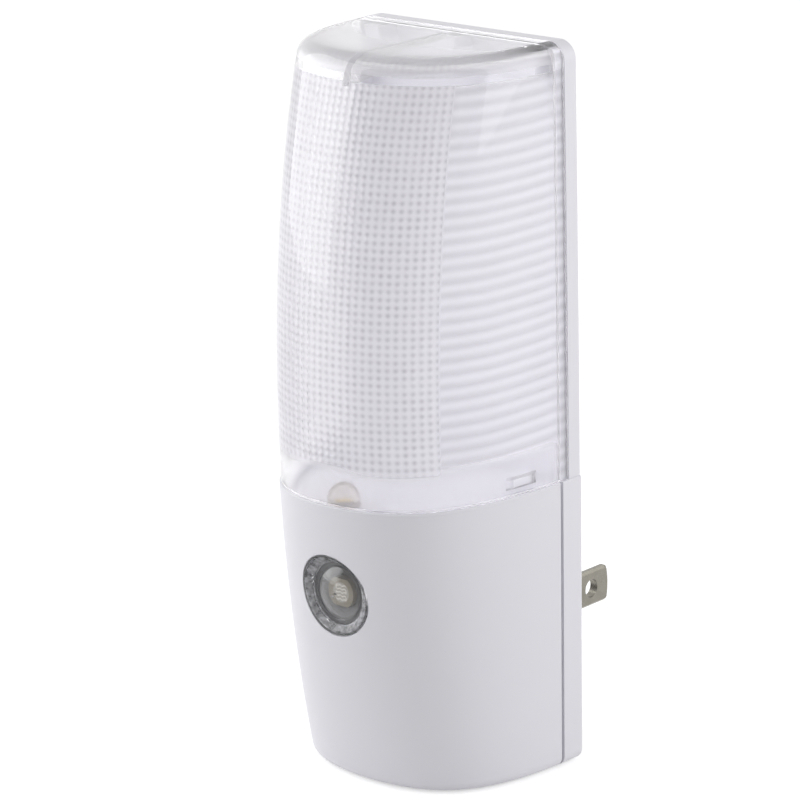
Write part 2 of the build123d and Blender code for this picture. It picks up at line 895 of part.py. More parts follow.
with BuildPart() as centre_contact:
    with BuildSketch(facing_front(flange_face_y)):
        Circle(centre_contact_radius)
        with Locations((centre_tab_reach / 2, 0)):
            Rectangle(centre_tab_reach, contact_tab_width)
    extrude(amount=contact_thickness)
finish(centre_contact, "centre_contact")


# Retainer: a ring plate on two posts that keeps the flange in the rear cover
with BuildPart() as plug_retainer:
    with BuildSketch(facing_front(retainer_y)):
        Circle(retainer_outer_radius)
        with Locations(*retainer_screw_spots):
            Circle(retainer_ear_radius)
        Circle(retainer_inner_radius, mode=Mode.SUBTRACT)
        with Locations(*retainer_screw_spots):
            Circle(retainer_screw_shank + 2 * screw_clearance, mode=Mode.SUBTRACT)
    extrude(amount=retainer_thickness)
    discs(rivet_spots, rivet_hole_radius, retainer_face_y, -rivet_hole_depth, Mode.SUBTRACT)
finish(plug_retainer, "plug_retainer")

with BuildPart() as retainer_screws:
    head_top_y = retainer_face_y - retainer_head_height
    recess_depth, recess_width = retainer_recess
    discs(retainer_screw_spots, retainer_screw_shank, retainer_face_y, -retainer_screw_length)
    discs(retainer_screw_spots, retainer_head_radius, retainer_face_y, retainer_head_height)
    cross_recesses(retainer_screw_spots, head_top_y, -recess_depth, recess_width)
finish(retainer_screws, "retainer_screws")

leaf_y = retainer_face_y - leaf_thickness / 2
touch_y = contact_face_y - leaf_gap - leaf_thickness / 2
leaf_tip_y = touch_y - leaf_tip_lift


def contact_leaf(side, arm_x, name):
    # Bent leaf spring: a pad riveted to the retainer and an arm down to its contact.
    bend_x, touch_x, tip_x = [side * x for x in arm_x]
    with BuildPart() as leaf:
        with BuildSketch(Plane.XY):
            with BuildLine():
                Polyline(
                    (side * leaf_pad_x[1], leaf_y),
                    (side * leaf_pad_x[0], leaf_y),
                    (bend_x, touch_y),
                    (touch_x, touch_y),
                    (tip_x, leaf_tip_y),
                )
            trace(line_width=leaf_thickness)
        extrude(amount=leaf_width / 2, both=True)
        discs([(side * rivet_x, 0)], rivet_hole_radius, back_y, far, Mode.SUBTRACT)
    finish(leaf, name)


contact_leaf(-1, ring_leaf_x, "ring_leaf")
contact_leaf(1, centre_leaf_x, "centre_leaf")

leaf_face_y = retainer_face_y - leaf_thickness
with BuildPart() as leaf_rivets:
    discs(rivet_spots, rivet_radius, leaf_face_y, -rivet_length)
    discs(rivet_spots, rivet_head_radius, leaf_face_y, rivet_head_height)
finish(leaf_rivets, "leaf_rivets")


def lead_wire(side, name):
    # Insulated lead from a leaf's pad to the board's rear face.
    wire = round_wire(
        [
            (side * wire_pad_x, leaf_face_y, 0),
            (side * wire_pad_x, leaf_face_y - wire_run, 0),
            (side * wire_board_x, board_rear_y + wire_run, wire_board_z),
            (side * wire_board_x, board_rear_y, wire_board_z),
        ],
        wire_radius,
        wire_bend,
    )
    with BuildPart() as lead:
        add(wire)
    finish(lead, name)


lead_wire(1, "lead_wire_live")
lead_wire(-1, "lead_wire_neutral")
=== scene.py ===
import math
import bmesh
import bpy
import numpy as np
from mathutils import Matrix, Vector


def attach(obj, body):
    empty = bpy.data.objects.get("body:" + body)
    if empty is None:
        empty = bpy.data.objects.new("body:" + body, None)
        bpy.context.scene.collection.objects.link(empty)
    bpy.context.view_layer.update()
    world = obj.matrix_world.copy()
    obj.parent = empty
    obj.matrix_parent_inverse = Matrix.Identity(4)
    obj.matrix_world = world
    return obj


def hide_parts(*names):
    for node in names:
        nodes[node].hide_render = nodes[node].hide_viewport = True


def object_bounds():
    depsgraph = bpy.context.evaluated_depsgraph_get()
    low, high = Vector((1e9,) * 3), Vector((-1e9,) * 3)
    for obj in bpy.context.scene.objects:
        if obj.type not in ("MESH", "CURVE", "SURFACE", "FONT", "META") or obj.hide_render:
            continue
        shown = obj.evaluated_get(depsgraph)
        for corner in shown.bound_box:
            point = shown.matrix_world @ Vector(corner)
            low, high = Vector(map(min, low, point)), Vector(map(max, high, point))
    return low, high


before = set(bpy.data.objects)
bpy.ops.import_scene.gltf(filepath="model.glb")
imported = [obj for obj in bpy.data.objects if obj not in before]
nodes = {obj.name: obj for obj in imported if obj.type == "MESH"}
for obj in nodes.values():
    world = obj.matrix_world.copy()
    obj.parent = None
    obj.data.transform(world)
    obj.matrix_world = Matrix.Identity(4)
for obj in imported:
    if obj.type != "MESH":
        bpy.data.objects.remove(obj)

# Plug-in night light: white lower housing, clear patterned lens, dusk sensor, turning plug.
# Shapes are worked out in millimetres and go into their meshes in metres.
mm = 0.001
cadBox = [list(corner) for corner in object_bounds()]

# Camera at the viewing angle of the light: it aims at target from distance, in millimetres
cameraSettings = {
    "target": (-2.8, -24.0, 39.98),
    "distance": 600.0,
    "azimuth": 41.61,
    "elevation": 16.36,
    "roll": -1.06,
    "lens": 166.83,
    "sensor": 36.0,
    "shiftX": -0.0049,
}


def direction(settings):
    # From the light towards an azimuth, counted from -Y round to +X, and an elevation
    azimuth = math.radians(settings["azimuth"])
    elevation = math.radians(settings["elevation"])
    return Vector((
        math.sin(azimuth) * math.cos(elevation),
        -math.cos(azimuth) * math.cos(elevation),
        math.sin(elevation),
    ))


def makeCamera(settings):
    azimuth = math.radians(settings["azimuth"])
    roll = math.radians(settings["roll"])
    back = direction(settings)
    level = Vector((math.cos(azimuth), math.sin(azimuth), 0.0))
    upward = back.cross(level)
    right = level * math.cos(roll) + upward * math.sin(roll)
    top = upward * math.cos(roll) - level * math.sin(roll)
    place = (Vector(settings["target"]) + back * settings["distance"]) * mm
    data = bpy.data.cameras.new("camera")
    data.lens = settings["lens"]
    data.sensor_width = settings["sensor"]
    data.shift_x = settings["shiftX"]
    camera = bpy.data.objects.new("camera", data)
    camera.matrix_world = Matrix((right, top, back)).transposed().to_4x4()
    camera.matrix_world.translation = place
    bpy.context.scene.collection.objects.link(camera)
    bpy.context.scene.camera = camera


makeCamera(cameraSettings)
bpy.context.scene.view_settings.view_transform = "Standard"
print("camera placed")


class Wire:
    # A socket to write sums with: a sum adds Math nodes, and numbers may stand on either side
    def __init__(self, tree, socket=None):
        self.tree = tree
        self.socket = socket

    def node(self, kind, settings, inputs, output=0):
        # Any node: its settings are set first, then the values or links of its sockets
        added = self.tree.nodes.new(kind)
        for name, value in settings.items():
            setattr(added, name, value)
        for name, value in inputs.items():
            join(self.tree, added.inputs[name], value)
        return Wire(self.tree, added.outputs[output] if added.outputs else None)

    def math(self, operation, first, second=0.0):
        return self.node("ShaderNodeMath", {"operation": operation}, {0: first, 1: second})

    def larger(self, other):
        return self.math("MAXIMUM", self, other)

    def held(self):
        # Held between zero and one
        return self.math("MINIMUM", 1.0, self.larger(0.0))

    def parts(self, names):
        # The parts of a vector, one for each letter
        return [self.node("ShaderNodeSeparateXYZ", {}, {"Vector": self}, name) for name in names]

    def bump(self, depth):
        # The normal of a surface that stands out by this height times the depth in millimetres
        inputs = {"Strength": 1.0, "Distance": depth * mm, "Height": self}
        return self.node("ShaderNodeBump", {}, inputs)

    def __add__(self, other):
        return self.math("ADD", self, other)

    def __radd__(self, other):
        return self.math("ADD", other, self)

    def __sub__(self, other):
        return self.math("SUBTRACT", self, other)

    def __rsub__(self, other):
        return self.math("SUBTRACT", other, self)

    def __mul__(self, other):
        return self.math("MULTIPLY", self, other)

    def __rmul__(self, other):
        return self.math("MULTIPLY", other, self)

    def __truediv__(self, other):
        return self.math("DIVIDE", self, other)

    def __gt__(self, other):
        return self.math("GREATER_THAN", self, other)

    def __lt__(self, other):
        return self.math("LESS_THAN", self, other)

    def __abs__(self):
        return self.math("ABSOLUTE", self)

    def __mod__(self, other):
        return self.math("FLOORED_MODULO", self, other)


def join(tree, socket, value):
    # Link a wire to a socket, or set the socket's own value; a colour gets its alpha
    if isinstance(value, Wire):
        tree.links.new(value.socket, socket)
    elif isinstance(value, tuple) and socket.type == "RGBA":
        socket.default_value = (*value, 1.0)
    else:
        socket.default_value = value


def startMaterial(name):
    # An empty material, with a wire for its tree and one for Object coordinates in millimetres
    material = bpy.data.materials.new(name)
    material.use_nodes = True
    material.node_tree.nodes.clear()
    tree = Wire(material.node_tree)
    inMetres = tree.node("ShaderNodeTexCoord", {}, {}, "Object")
    place = tree.node("ShaderNodeMapping", {}, {"Vector": inMetres, "Scale": (1 / mm, 1 / mm, 1 / mm)})
    return material, tree, place


def endMaterial(tree, shader):
    tree.node("ShaderNodeOutputMaterial", {}, {"Surface": shader})


# Light: white surroundings, and two soft boxes beside and a little behind the light
studioSettings = {
    "surroundings": 0.52,
    "lampSize": (0.75, 0.85),
    "lampDistance": 0.72,
    "leftLamp": {"azimuth": -60.0, "elevation": 14.0, "watts": 3.7},
    "rightLamp": {"azimuth": 124.0, "elevation": 14.0, "watts": 3.15},
    "floorDrop": 0.25,
    "floorHalfSize": 1500.0,
    "floorColour": (0.80, 0.80, 0.80),
    "floorRoughness": 0.9,
    "floorGlow": 0.50,
}


def seenRays(tree):
    # One for camera, mirror and glass rays, which see the surroundings, and none for the rest
    names = ("Is Camera Ray", "Is Glossy Ray", "Is Transmission Ray")
    camera, glossy, through = [tree.node("ShaderNodeLightPath", {}, {}, name) for name in names]
    return camera.larger(glossy.larger(through))


def makeSurroundings(settings):
    world = bpy.data.worlds.new("whiteRoom")
    bpy.context.scene.world = world
    world.use_nodes = True
    world.node_tree.nodes.clear()
    tree = Wire(world.node_tree)
    glow = settings["surroundings"]
    strength = glow + (1.0 - glow) * seenRays(tree)
    background = tree.node("ShaderNodeBackground", {}, {"Color": (1.0, 1.0, 1.0), "Strength": strength})
    tree.node("ShaderNodeOutputWorld", {}, {"Surface": background})


def makeLamp(name, settings, aim):
    away = direction(settings[name])
    data = bpy.data.lights.new(name, "AREA")
    data.shape = "RECTANGLE"
    data.size, data.size_y = settings["lampSize"]
    data.energy = settings[name]["watts"]
    lamp = bpy.data.objects.new(name, data)
    lamp.matrix_world = away.to_track_quat("Z", "Y").to_matrix().to_4x4()
    lamp.matrix_world.translation = aim + away * settings["lampDistance"]
    bpy.context.scene.collection.objects.link(lamp)


def makeFloor(settings):
    material, tree, place = startMaterial("paleFloor")
    glow = settings["floorGlow"] * seenRays(tree)
    shader = tree.node("ShaderNodeBsdfPrincipled", {}, {
        "Base Color": settings["floorColour"],
        "Roughness": settings["floorRoughness"],
        "Emission Color": (1.0, 1.0, 1.0),
        "Emission Strength": glow,
    })
    endMaterial(tree, shader)
    half = settings["floorHalfSize"] * mm
    level = cadBox[0][2] - settings["floorDrop"] * mm
    corners = [(-half, -half, level), (half, -half, level), (half, half, level), (-half, half, level)]
    mesh = bpy.data.meshes.new("floor")
    mesh.from_pydata(corners, [], [(0, 1, 2, 3)])
    mesh.materials.append(material)
    floor = bpy.data.objects.new("floor", mesh)
    bpy.context.scene.collection.objects.link(floor)


lightMiddle = (Vector(cadBox[0]) + Vector(cadBox[1])) / 2
makeSurroundings(studioSettings)
for lampName in ("leftLamp", "rightLamp"):
    makeLamp(lampName, studioSettings, lightMiddle)
makeFloor(studioSettings)
print("studio lit")


def dress(nodeNames, material):
    # Give CAD nodes their finished material
    for nodeName in nodeNames:
        for slot in nodes[nodeName].material_slots:
            slot.material = material


def mixColours(mask, first, second):
    return mask.node("ShaderNodeMix", {"data_type": "RGBA"}, {0: mask, 6: first, 7: second}, 2)


def mixShaders(mask, first, second):
    return first.node("ShaderNodeMixShader", {}, {0: mask, 1: first, 2: second})


def noise(place, size, detail=2.0, stretch=(1.0, 1.0, 1.0)):
    # Soft random value of the given size in millimetres, drawn out along the stretched axes
    drawn = place.node("ShaderNodeMapping", {}, {
        "Vector": place,
        "Scale": tuple(1.0 / (size * part) for part in stretch),
    })
    return place.node("ShaderNodeTexNoise", {}, {"Vector": drawn, "Scale": 1.0, "Detail": detail})


# Moulded plastics: colour with a faint cloud, a fine spark-eroded grain, and a gloss that is
# uneven in patches. Sizes and depths are in millimetres.
plastics = {
    "whiteHousing": {
        "nodes": ("front_housing", "rear_cover"),
        "colour": (0.800, 0.792, 0.842), "cloud": 0.985, "cloudSize": 18.0,
        "grain": 0.22, "depth": 0.0016, "roughness": 0.36, "uneven": 0.08,
    },
    "whiteDeck": {
        "nodes": ("light_deck",),
        "colour": (0.84, 0.83, 0.865), "cloud": 0.98, "cloudSize": 9.0,
        "grain": 0.3, "depth": 0.002, "roughness": 0.42, "uneven": 0.1,
    },
    "whitePlug": {
        "nodes": ("plug_base", "plug_retainer"),
        "colour": (0.77, 0.765, 0.79), "cloud": 0.97, "cloudSize": 7.0,
        "grain": 0.35, "depth": 0.006, "roughness": 0.5, "uneven": 0.12,
    },
    "darkTube": {
        "nodes": ("sensor_shroud",),
        "colour": (0.012, 0.012, 0.013), "cloud": 1.6, "cloudSize": 3.0,
        "grain": 0.2, "depth": 0.004, "roughness": 0.5, "uneven": 0.15,
    },
    "greySeat": {
        "nodes": ("sensor_seat",),
        "colour": (0.045, 0.043, 0.043), "cloud": 0.9, "cloudSize": 2.0,
        "grain": 0.15, "depth": 0.003, "roughness": 0.4, "uneven": 0.1,
    },
    "blackEpoxy": {
        "nodes": ("transistor",),
        "colour": (0.018, 0.018, 0.020), "cloud": 1.5, "cloudSize": 1.5,
        "grain": 0.12, "depth": 0.006, "roughness": 0.55, "uneven": 0.15,
    },
    "wireSleeve": {
        "nodes": ("lead_wire_live", "lead_wire_neutral"),
        "colour": (0.62, 0.62, 0.61), "cloud": 0.93, "cloudSize": 4.0,
        "grain": 0.5, "depth": 0.004, "roughness": 0.45, "uneven": 0.1,
    },
    "filmCase": {
        "nodes": ("film_capacitor",),
        "colour": (0.60, 0.40, 0.055), "cloud": 0.9, "cloudSize": 4.0,
        "grain": 0.4, "depth": 0.008, "roughness": 0.34, "uneven": 0.12,
    },
}


def makePlastic(name, settings):
    material, tree, place = startMaterial(name)
    colour = settings["colour"]
    clouded = tuple(part * settings["cloud"] for part in colour)
    base = mixColours(noise(place, settings["cloudSize"], 3.0), colour, clouded)
    grain = noise(place, settings["grain"], 3.0)
    patches = noise(place, 9.0 * settings["grain"])
    roughness = settings["roughness"] + settings["uneven"] * (patches - 0.5)
    shader = tree.node("ShaderNodeBsdfPrincipled", {}, {
        "Base Color": base, "Roughness": roughness, "Normal": grain.bump(settings["depth"]),
    })
    endMaterial(tree, shader)
    return material


made = {}
for plasticName, plasticSettings in plastics.items():
    made[plasticName] = makePlastic(plasticName, plasticSettings)
    dress(plasticSettings["nodes"], made[plasticName])
print("plastics made")


# Metals: a base colour with small stains, and fine lines drawn out along one axis
metals = {
    "bladeNickel": {
        "nodes": ("plug_blade_left", "plug_blade_right"),
        "colour": (0.30, 0.285, 0.25), "stain": (0.21, 0.20, 0.17), "stainSize": 2.2,
        "line": 0.05, "stretch": (1.0, 14.0, 1.0), "depth": 0.0022, "roughness": 0.27, "uneven": 0.2,
    },
    "contactBrass": {
        "nodes": ("ring_contact", "centre_contact", "ring_leaf", "centre_leaf", "leaf_rivets"),
        "colour": (0.72, 0.52, 0.21), "stain": (0.50, 0.33, 0.13), "stainSize": 2.5,
        "line": 0.06, "stretch": (12.0, 1.0, 1.0), "depth": 0.002, "roughness": 0.28, "uneven": 0.16,
    },
    "screwZinc": {
        "nodes": ("housing_screws", "board_screws", "retainer_screws"),
        "colour": (0.58, 0.58, 0.57), "stain": (0.42, 0.42, 0.44), "stainSize": 0.9,
        "line": 0.07, "stretch": (1.0, 1.0, 1.0), "depth": 0.003, "roughness": 0.32, "uneven": 0.2,
    },
    "tinnedWire": {
        "nodes": ("led_leads", "sensor_leads"),
        "colour": (0.66, 0.66, 0.65), "stain": (0.48, 0.48, 0.47), "stainSize": 1.0,
        "line": 0.05, "stretch": (1.0, 8.0, 1.0), "depth": 0.002, "roughness": 0.3, "uneven": 0.15,
    },
}


def makeMetal(name, settings):
    material, tree, place = startMaterial(name)
    stained = noise(place, settings["stainSize"], 4.0)
    base = mixColours(stained, settings["colour"], settings["stain"])
    lines = noise(place, settings["line"], 3.0, settings["stretch"])
    shader = tree.node("ShaderNodeBsdfPrincipled", {}, {
        "Base Color": base,
        "Metallic": 1.0,
        "Roughness": settings["roughness"] + settings["uneven"] * (stained - 0.5),
        "Normal": lines.bump(settings["depth"]),
    })
    endMaterial(tree, shader)
    return material


for metalName, metalSettings in metals.items():
    made[metalName] = makeMetal(metalName, metalSettings)
    dress(metalSettings["nodes"], made[metalName])
print("metals made")


# Glass-clear plastics: what casts shadows is thinned, so lamps light what is behind them. Milk is
# the share of haze in them, and through is the part of that haze which lets light on.
clears = {
    "clearLens": {
        "colour": (0.985, 0.980, 0.995), "ior": 1.49, "shadow": 0.88,
        "wave": 9.0, "depth": 0.004, "roughness": 0.02,
        "milk": 0.5, "milkColour": (0.86, 0.857, 0.866), "milkRoughness": 0.25, "through": 0.85,
        # Painted shade: a dark diffuse mixed in at the cushions' corners and edges, and in bands on the
        # ribs
        "paintedValleyShade": {
            "colour": (0.24, 0.235, 0.25), "cells": 0.33, "ribs": 0.20, "netPart": 0.1,
            "netSharpness": 5.0, "cloudSize": 2.6, "cloudLeast": 0.4, "cloudPart": 1.2,
        },
    },
    "clearWindow": {
        "colour": (0.93, 0.93, 0.95), "ior": 1.53, "shadow": 0.8,
        "wave": 1.7, "depth": 0.03, "roughness": 0.02,
        "milk": 0.45, "milkColour": (0.84, 0.84, 0.88), "milkRoughness": 0.10, "through": 0.3,
        "ring": {
            "centre": (0.0, 12.9), "radius": 5.15, "rim": 6.6, "soft": 0.25, "least": 0.01,
            "streak": 1.1, "streakStretch": (1.0, 5.0, 1.0), "contrast": 4.0, "cut": 1.1,
        },
    },
    "lampEpoxy": {
        "colour": (0.985, 0.95, 0.925), "ior": 1.53, "shadow": 0.7,
        "wave": 1.0, "depth": 0.03, "roughness": 0.02,
        "milk": 0.40, "milkColour": (0.98, 0.94, 0.90), "milkRoughness": 0.12, "through": 0.5,
    },
}


def fromCentre(place, centre):
    # How far across and up from a centre on the front, and the distance, in millimetres
    across, upward = [axis - middle for axis, middle in zip(place.parts("XZ"), centre)]
    return across, upward, place.math("SQRT", across * across + upward * upward)


def lensMilkAndPaintedShade(tree, place, paintedValleyShade):
    # From the marks at the lens's points: its milk, and a painted shade between cushions and ribs.
    # The painted shade is dark dots at the cells' corners, a faint dark net along their edges, and
    # dark bands on the ribs, each a cosine of the marks, with the dots clouded at random.
    marks = tree.node("ShaderNodeAttribute", {"attribute_name": "pattern"}, {}, "Vector")
    across, upward, milk = marks.parts("XYZ")
    columns, rows = [0.5 + 0.5 * mark.math("COSINE", mark * (2 * math.pi)) for mark in (across, upward)]
    paintedEdgeNet = rows.math("POWER", rows.larger(columns), paintedValleyShade["netSharpness"])
    paintedCornerDots = (1.0 - paintedValleyShade["netPart"]) * rows * columns + paintedValleyShade["netPart"] * paintedEdgeNet
    cloud = paintedValleyShade["cloudLeast"] + paintedValleyShade["cloudPart"] * noise(place, paintedValleyShade["cloudSize"], 3.0)
    cells = paintedValleyShade["cells"] * paintedCornerDots * cloud
    ribs = paintedValleyShade["ribs"] * rows * abs(across)
    inField = across > -0.5
    inPattern = (2.0 * milk - 1.0).held()
    return milk, (inField * cells + (1.0 - inField) * ribs) * inPattern


def windowMilk(place, ring):
    # The conical edge is hazy in streaks, from its foot to the rim, and the middle is clear
    distance = fromCentre(place, ring["centre"])[2]
    inRing = ((distance - ring["radius"]) / ring["soft"]).held()
    inRim = ((ring["rim"] - distance) / ring["soft"]).held()
    streaks = noise(place, ring["streak"], 2.0, ring["streakStretch"])
    streaks = ring["contrast"] * streaks - ring["cut"]
    return (inRing * inRim * streaks).larger(ring["least"])


def makeClear(name, settings):
    material, tree, place = startMaterial(name)
    flow = noise(place, settings["wave"], 1.0)
    milk = 1.0
    if "paintedValleyShade" in settings:
        milk, paintedShadeMask = lensMilkAndPaintedShade(tree, place, settings["paintedValleyShade"])
    if "ring" in settings:
        milk = windowMilk(place, settings["ring"])
    roughness = settings["roughness"] + settings["roughness"] * flow
    solid = tree.node("ShaderNodeBsdfPrincipled", {}, {
        "Base Color": settings["colour"],
        "Roughness": roughness + settings["milkRoughness"] * milk,
        "IOR": settings["ior"],
        "Transmission Weight": 1.0,
        "Normal": flow.bump(settings["depth"]),
    })
    # The haze scatters light: part of it back, and part of it through
    near = tree.node("ShaderNodeBsdfDiffuse", {}, {"Color": settings["milkColour"]})
    far = tree.node("ShaderNodeBsdfTranslucent", {}, {"Color": settings["milkColour"]})
    haze = mixShaders(settings["through"], near, far)
    solid = mixShaders(settings["milk"] * milk, solid, haze)
    if "paintedValleyShade" in settings:
        # Painted shade: a dark diffuse is mixed in between the cushions and along the ribs, standing in
        # for the light their relief bends away
        shade = tree.node("ShaderNodeBsdfDiffuse", {}, {"Color": settings["paintedValleyShade"]["colour"]})
        solid = mixShaders(paintedShadeMask, solid, shade)
    thin = tree.node("ShaderNodeBsdfTransparent", {}, {"Color": settings["colour"]})
    shadow = tree.node("ShaderNodeLightPath", {}, {}, "Is Shadow Ray")
    endMaterial(tree, mixShaders(settings["shadow"] * shadow, solid, thin))
    return material


for clearName, clearSettings in clears.items():
    made[clearName] = makeClear(clearName, clearSettings)
dress(("sensor_window",), made["clearWindow"])
print("clear plastics made")


def band(along, middle, halfWidth):
    # One inside a stripe across an axis, and none outside it
    return abs(along - middle) < halfWidth


# Resistors: a lacquered body with coloured stripes round it, and tinned leads past its ends.
# The middle is the body's middle along X, and each stripe is its offset from there, in
# millimetres, with its colour.
resistors = {
    "fuse_resistor": {
        "middle": -6.8, "half": 4.0, "body": (0.30, 0.42, 0.36),
        "stripes": ((-2.6, "orange"), (-1.3, "black"), (0.0, "black"), (2.4, "gold")),
    },
    "bleed_resistor": {
        "middle": -6.5, "half": 3.15, "body": (0.62, 0.50, 0.30),
        "stripes": ((-2.1, "brown"), (-1.0, "black"), (0.1, "yellow"), (2.0, "gold")),
    },
    "control_resistors": {
        "middle": 6.4, "half": 1.8, "body": (0.64, 0.52, 0.32),
        "stripes": ((-1.2, "green"), (-0.6, "blue"), (0.0, "orange"), (1.1, "gold")),
    },
}
stripeColours = {
    "black": (0.02, 0.02, 0.02),
    "brown": (0.18, 0.06, 0.02),
    "orange": (0.45, 0.20, 0.03),
    "yellow": (0.42, 0.36, 0.02),
    "green": (0.10, 0.22, 0.05),
    "blue": (0.02, 0.05, 0.30),
    "gold": (0.60, 0.42, 0.10),
}
leadColour = (0.66, 0.66, 0.65)


def makeResistor(name, settings):
    material, tree, place = startMaterial(name)
    along = place.parts("X")[0]
    body = band(along, settings["middle"], settings["half"])
    darker = tuple(0.85 * part for part in settings["body"])
    colour = mixColours(noise(place, 0.8, 3.0), settings["body"], darker)
    for offset, stripe in settings["stripes"]:
        inStripe = band(along, settings["middle"] + offset, 0.07 * settings["half"])
        colour = mixColours(inStripe, colour, stripeColours[stripe])
    shader = tree.node("ShaderNodeBsdfPrincipled", {}, {
        "Base Color": mixColours(body, leadColour, colour),
        "Metallic": 1.0 - body,
        "Roughness": 0.32 + 0.12 * noise(place, 0.5),
    })
    endMaterial(tree, shader)
    return material


for resistorName, resistorSettings in resistors.items():
    dress((resistorName,), makeResistor(resistorName.replace("_", ""), resistorSettings))


# Diodes: the four rectifiers stand along Z with a pale ring at one end; the zener lies along X
diodes = {
    "rectifier_diodes": {
        "axis": "Z", "middle": -8.2, "half": 2.5, "body": (0.02, 0.02, 0.022),
        "ring": (0.62, 0.62, 0.62), "ringOffset": 1.6, "ringHalf": 0.35,
    },
    "zener_diode": {
        "axis": "X", "middle": 7.2, "half": 1.9, "body": (0.50, 0.16, 0.05),
        "ring": (0.015, 0.015, 0.015), "ringOffset": -1.3, "ringHalf": 0.3,
    },
}


def makeDiode(name, settings):
    material, tree, place = startMaterial(name)
    along = place.parts(settings["axis"])[0]
    body = band(along, settings["middle"], settings["half"])
    ring = band(along, settings["middle"] + settings["ringOffset"], settings["ringHalf"])
    paler = tuple(1.3 * part for part in settings["body"])
    shade = mixColours(noise(place, 0.6, 3.0), settings["body"], paler)
    shader = tree.node("ShaderNodeBsdfPrincipled", {}, {
        "Base Color": mixColours(body, leadColour, mixColours(ring, shade, settings["ring"])),
        "Metallic": 1.0 - body,
        "Roughness": 0.28 + 0.15 * noise(place, 0.4),
    })
    endMaterial(tree, shader)
    return material


for diodeName, diodeSettings in diodes.items():
    dress((diodeName,), makeDiode(diodeName.replace("_", ""), diodeSettings))


# Electrolytic capacitor: dark sleeve with a pale stripe down one side and a bare aluminium end
smootherSettings = {
    "centre": (7.5, 5.5), "stripeHalf": 0.9, "endY": -18.6,
    "sleeve": (0.014, 0.018, 0.045), "stripe": (0.42, 0.45, 0.50), "aluminium": (0.70, 0.70, 0.71),
}


def makeSmoother(settings):
    material, tree, place = startMaterial("capacitorSleeve")
    x, y, z = place.parts("XYZ")
    middleX, middleZ = settings["centre"]
    side = band(z, middleZ, settings["stripeHalf"]) * (x > middleX)
    bare = y > settings["endY"]
    paler = tuple(1.6 * part for part in settings["sleeve"])
    sleeve = mixColours(noise(place, 1.5, 2.0), settings["sleeve"], paler)
    sleeve = mixColours(side, sleeve, settings["stripe"])
    shader = tree.node("ShaderNodeBsdfPrincipled", {}, {
        "Base Color": mixColours(bare, sleeve, settings["aluminium"]),
        "Metallic": 0.9 * bare,
        "Roughness": 0.3 + 0.1 * noise(place, 0.6),
    })
    endMaterial(tree, shader)
    return material


dress(("smoothing_capacitor",), makeSmoother(smootherSettings))


# Board: green lacquer over a faint glass weave
boardSettings = {
    "lacquer": (0.015, 0.13, 0.045), "thread": (0.03, 0.19, 0.075),
    "weave": 0.5, "threadPart": 0.42, "depth": 0.004,
}


def makeBoard(settings):
    material, tree, place = startMaterial("boardLaminate")
    across, upward = [(axis / settings["weave"]) % 1.0 for axis in place.parts("XZ")]
    thread = (across > settings["threadPart"]) * (upward > settings["threadPart"])
    shader = tree.node("ShaderNodeBsdfPrincipled", {}, {
        "Base Color": mixColours(thread * noise(place, 2.0), settings["lacquer"], settings["thread"]),
        "Roughness": 0.3 + 0.1 * noise(place, 1.2),
        "Normal": thread.bump(settings["depth"]),
    })
    endMaterial(tree, shader)
    return material


dress(("circuit_board",), makeBoard(boardSettings))
print("components dressed")


# Photocell: a ceramic face between two silvery combs, with the track wound between them.
# The track runs across in rows and turns round at alternate ends.
cellSettings = {
    "centre": (0.0, 12.9), "combRadius": 1.6,
    "rows": 5, "rowPitch": 0.56, "trackHalf": 0.10, "trackReach": 1.0,
    "wave": 0.09, "waveLength": 0.9, "depth": 0.03,
    "ceramic": (0.17, 0.14, 0.08), "metal": (0.34, 0.32, 0.26), "track": (0.66, 0.62, 0.54),
    "stain": (0.20, 0.18, 0.14), "stainPart": 0.25,
}


def makeCell(settings):
    material, tree, place = startMaterial("sensorCell")
    across, upward, distance = fromCentre(place, settings["centre"])
    wave = settings["wave"] * across.math("SINE", across * (2 * math.pi / settings["waveLength"]))
    halfRows = 0.5 * settings["rows"]
    rowPlace = (upward + wave) / settings["rowPitch"] + halfRows
    inRows = band(rowPlace, halfRows, halfRows)
    offRow = abs((rowPlace % 1.0) - 0.5) * settings["rowPitch"]
    reach = abs(across) < settings["trackReach"]
    rowLine = (offRow < settings["trackHalf"]) * reach * inRows
    side = 1.0 - 2.0 * ((rowPlace - 0.5) / 2.0 % 1.0 > 0.5)
    turn = abs(across * side - settings["trackReach"]) < settings["trackHalf"]
    inTurns = band(rowPlace, halfRows, halfRows - 0.5)
    track = rowLine.larger(turn * inTurns)
    comb = distance < settings["combRadius"]
    face = mixColours(comb, settings["ceramic"], settings["metal"])
    face = mixColours(track, face, settings["track"])
    cloud = noise(place, 0.5, 3.0)
    shader = tree.node("ShaderNodeBsdfPrincipled", {}, {
        "Base Color": mixColours(settings["stainPart"] * cloud, face, settings["stain"]),
        "Metallic": 0.5 * comb * (1.0 - track),
        "Roughness": 0.3 + 0.2 * cloud,
        "Coat Weight": 0.8 * comb,
        "Normal": (1.0 - track).bump(settings["depth"]),
    })
    endMaterial(tree, shader)
    return material


dress(("light_sensor",), makeCell(cellSettings))
print("photocell dressed")


